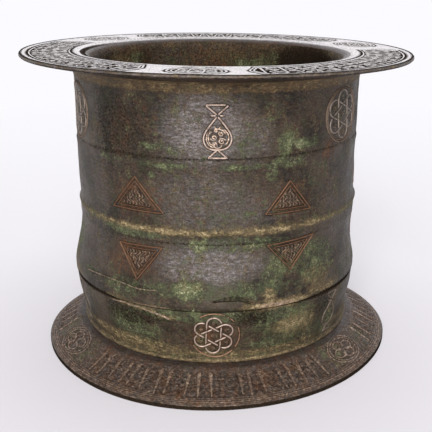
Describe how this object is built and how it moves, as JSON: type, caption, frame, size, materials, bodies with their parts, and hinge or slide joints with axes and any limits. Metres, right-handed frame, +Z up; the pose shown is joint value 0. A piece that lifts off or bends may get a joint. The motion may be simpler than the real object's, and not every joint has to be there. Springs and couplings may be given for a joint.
{
  "type": "footed grinding bowl",
  "caption": "Cast bronze grinding bowl: open barrel with a broad flat rim, lapped over a flared foot that holds the floor, with knot, vase and triangle motifs in inlaid wire.",
  "frame": {"origin": "centre of the foot, on the surface that it stands on", "axes": "+Z up along the axis of the bowl, -Y towards the side with the front vase and the front knot"},
  "size_m": [0.18, 0.18, 0.14],
  "materials": {
    "bronze": "dark brown patina with green and ochre patches",
    "silver_wire": "worn, satin",
    "copper_wire": "worn, satin"
  },
  "bodies": {
    "root": {"barrel": "bronze", "foot": "bronze", "lower_knot_1": "silver_wire", "lower_knot_2": "silver_wire", "lower_knot_3": "silver_wire", "lower_knot_ring_1": "copper_wire", "lower_knot_ring_2": "copper_wire", "lower_knot_ring_3": "copper_wire", "lower_vase_1": "silver_wire", "lower_vase_2": "silver_wire", "lower_vase_3": "silver_wire", "triangle_down_1": "copper_wire", "triangle_down_2": "copper_wire", "triangle_down_3": "copper_wire", "triangle_down_4": "copper_wire", "triangle_down_5": "copper_wire", "triangle_down_6": "copper_wire", "triangle_up_1": "copper_wire", "triangle_up_2": "copper_wire", "triangle_up_3": "copper_wire", "triangle_up_4": "copper_wire", "triangle_up_5": "copper_wire", "triangle_up_6": "copper_wire", "upper_knot_1": "silver_wire", "upper_knot_2": "silver_wire", "upper_knot_3": "silver_wire", "upper_knot_ring_1": "copper_wire", "upper_knot_ring_2": "copper_wire", "upper_knot_ring_3": "copper_wire", "upper_vase_1": "silver_wire", "upper_vase_2": "silver_wire", "upper_vase_3": "silver_wire"}
  },
  "joints": []
}
